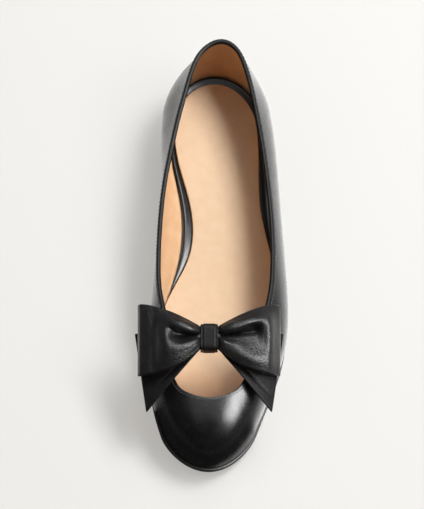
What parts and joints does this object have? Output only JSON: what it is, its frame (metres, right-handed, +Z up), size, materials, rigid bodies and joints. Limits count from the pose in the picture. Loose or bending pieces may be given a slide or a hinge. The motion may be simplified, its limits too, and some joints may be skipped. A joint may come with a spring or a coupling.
{
  "type": "ballet flat",
  "caption": "Slip-on flat shoe on a thin sole and low block heel, with a low-cut collar, a half-moon opening over the toes and a leather bow on the strap between them.",
  "frame": {"origin": "on the floor under the middle of the shoe's box, as seen from above", "axes": "+Z up, +Y towards the heel's back, so the toe points along -Y; +X to the outer side of the foot"},
  "size_m": [0.0865, 0.2509, 0.0626],
  "materials": {
    "black_leather": "smooth black leather, half gloss",
    "binding_leather": "thin black leather, satin",
    "bow_leather": "black leather with a fine grain, half gloss",
    "insole_leather": "smooth black leather, satin",
    "sock_leather": "soft tan leather, matte",
    "sole_rubber": "black, matte",
    "heel_rubber": "black, satin"
  },
  "bodies": {
    "root": {"upper": "black_leather", "topline_binding": "binding_leather", "outsole": "sole_rubber", "heel": "heel_rubber", "insole": "insole_leather", "sock": "sock_leather", "bow_tails": "bow_leather", "bow_loops": "bow_leather", "bow_knot": "bow_leather"}
  },
  "joints": []
}
